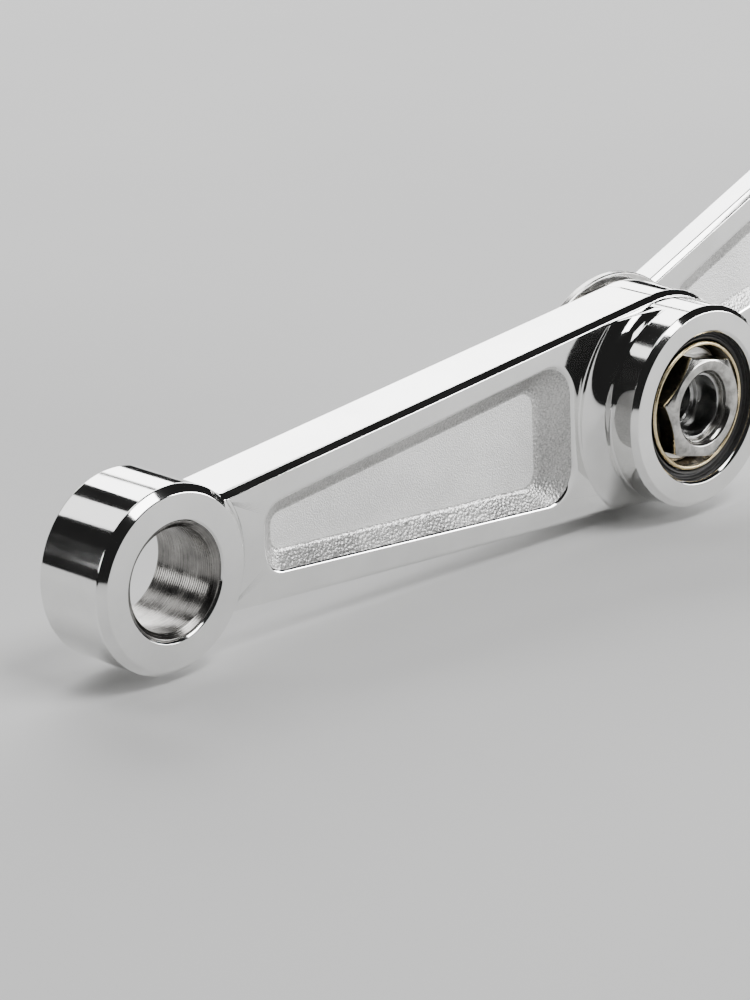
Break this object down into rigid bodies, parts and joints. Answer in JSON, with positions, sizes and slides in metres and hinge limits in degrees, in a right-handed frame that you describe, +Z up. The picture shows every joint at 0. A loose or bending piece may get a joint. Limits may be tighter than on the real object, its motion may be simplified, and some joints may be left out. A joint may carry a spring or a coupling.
{
  "type": "connecting rod pair",
  "caption": "Two tapered chrome connecting rods joined end to end on a hollow crankpin, with needle bearings, a brass thrust cup and low hexagon nuts.",
  "frame": {"origin": "in the crankpin's bore, midway between the crankpin's ends", "axes": "+Y along the crankpin, from the front rod to the rear rod; +Z up; the front rod lies towards -X"},
  "size_m": [0.3368, 0.0495, 0.0961],
  "materials": {
    "chrome_plate": "polished chrome plate with blasted satin pockets",
    "bush_steel": "fine turned",
    "race_steel": "ground",
    "cage_steel": "satin",
    "spring_steel": "dark phosphated",
    "nut_steel": "bright zinc plate",
    "pin_steel": "ground and dark in its bore",
    "brass": "turned brass",
    "seal_rubber": "matt black"
  },
  "bodies": {
    "front_rod": {"front_rod": "chrome_plate", "front_bush": "bush_steel", "front_outer_race": "race_steel", "front_snap_ring": "spring_steel", "front_seal": "seal_rubber"},
    "crankpin": {"crankpin": "pin_steel", "centre_washer": "race_steel", "front_inner_race": "race_steel", "front_thrust_cup": "brass", "front_washer": "nut_steel", "front_nut": "nut_steel", "rear_sleeve": "race_steel", "rear_washer": "nut_steel", "rear_nut": "nut_steel"},
    "front_bearing": {"front_needle_cage": "cage_steel", "front_needles": "race_steel"},
    "rear_rod": {"rear_rod": "chrome_plate", "rear_bush": "bush_steel", "rear_outer_race": "race_steel", "rear_snap_ring": "spring_steel", "rear_seal": "seal_rubber"},
    "rear_race": {"rear_inner_race": "race_steel"},
    "rear_bearing": {"rear_needle_cage": "cage_steel", "rear_needles": "race_steel"}
  },
  "joints": [
    {"name": "crankpin_turn", "type": "hinge", "parent": "front_rod", "child": "crankpin", "pos_m": [0, 0, 0], "axis": [0, 1, 0], "continuous": true},
    {"name": "rear_rod_swing", "type": "hinge", "parent": "crankpin", "child": "rear_rod", "pos_m": [0, 0, 0], "axis": [0, 1, 0], "continuous": true},
    {"name": "rear_race_turn", "type": "hinge", "parent": "rear_rod", "child": "rear_race", "pos_m": [0.14266, 0, 0.04635], "axis": [0, 1, 0], "continuous": true},
    {"name": "front_cage_turn", "type": "hinge", "parent": "front_rod", "child": "front_bearing", "pos_m": [0, 0, 0], "axis": [0, 1, 0], "continuous": true},
    {"name": "rear_cage_turn", "type": "hinge", "parent": "rear_rod", "child": "rear_bearing", "pos_m": [0.14266, 0, 0.04635], "axis": [0, 1, 0], "continuous": true}
  ],
  "couplings": [
    {"joint": "front_cage_turn", "follows": "crankpin_turn", "ratio": 0.44898},
    {"joint": "rear_cage_turn", "follows": "rear_race_turn", "ratio": 0.44898}
  ]
}
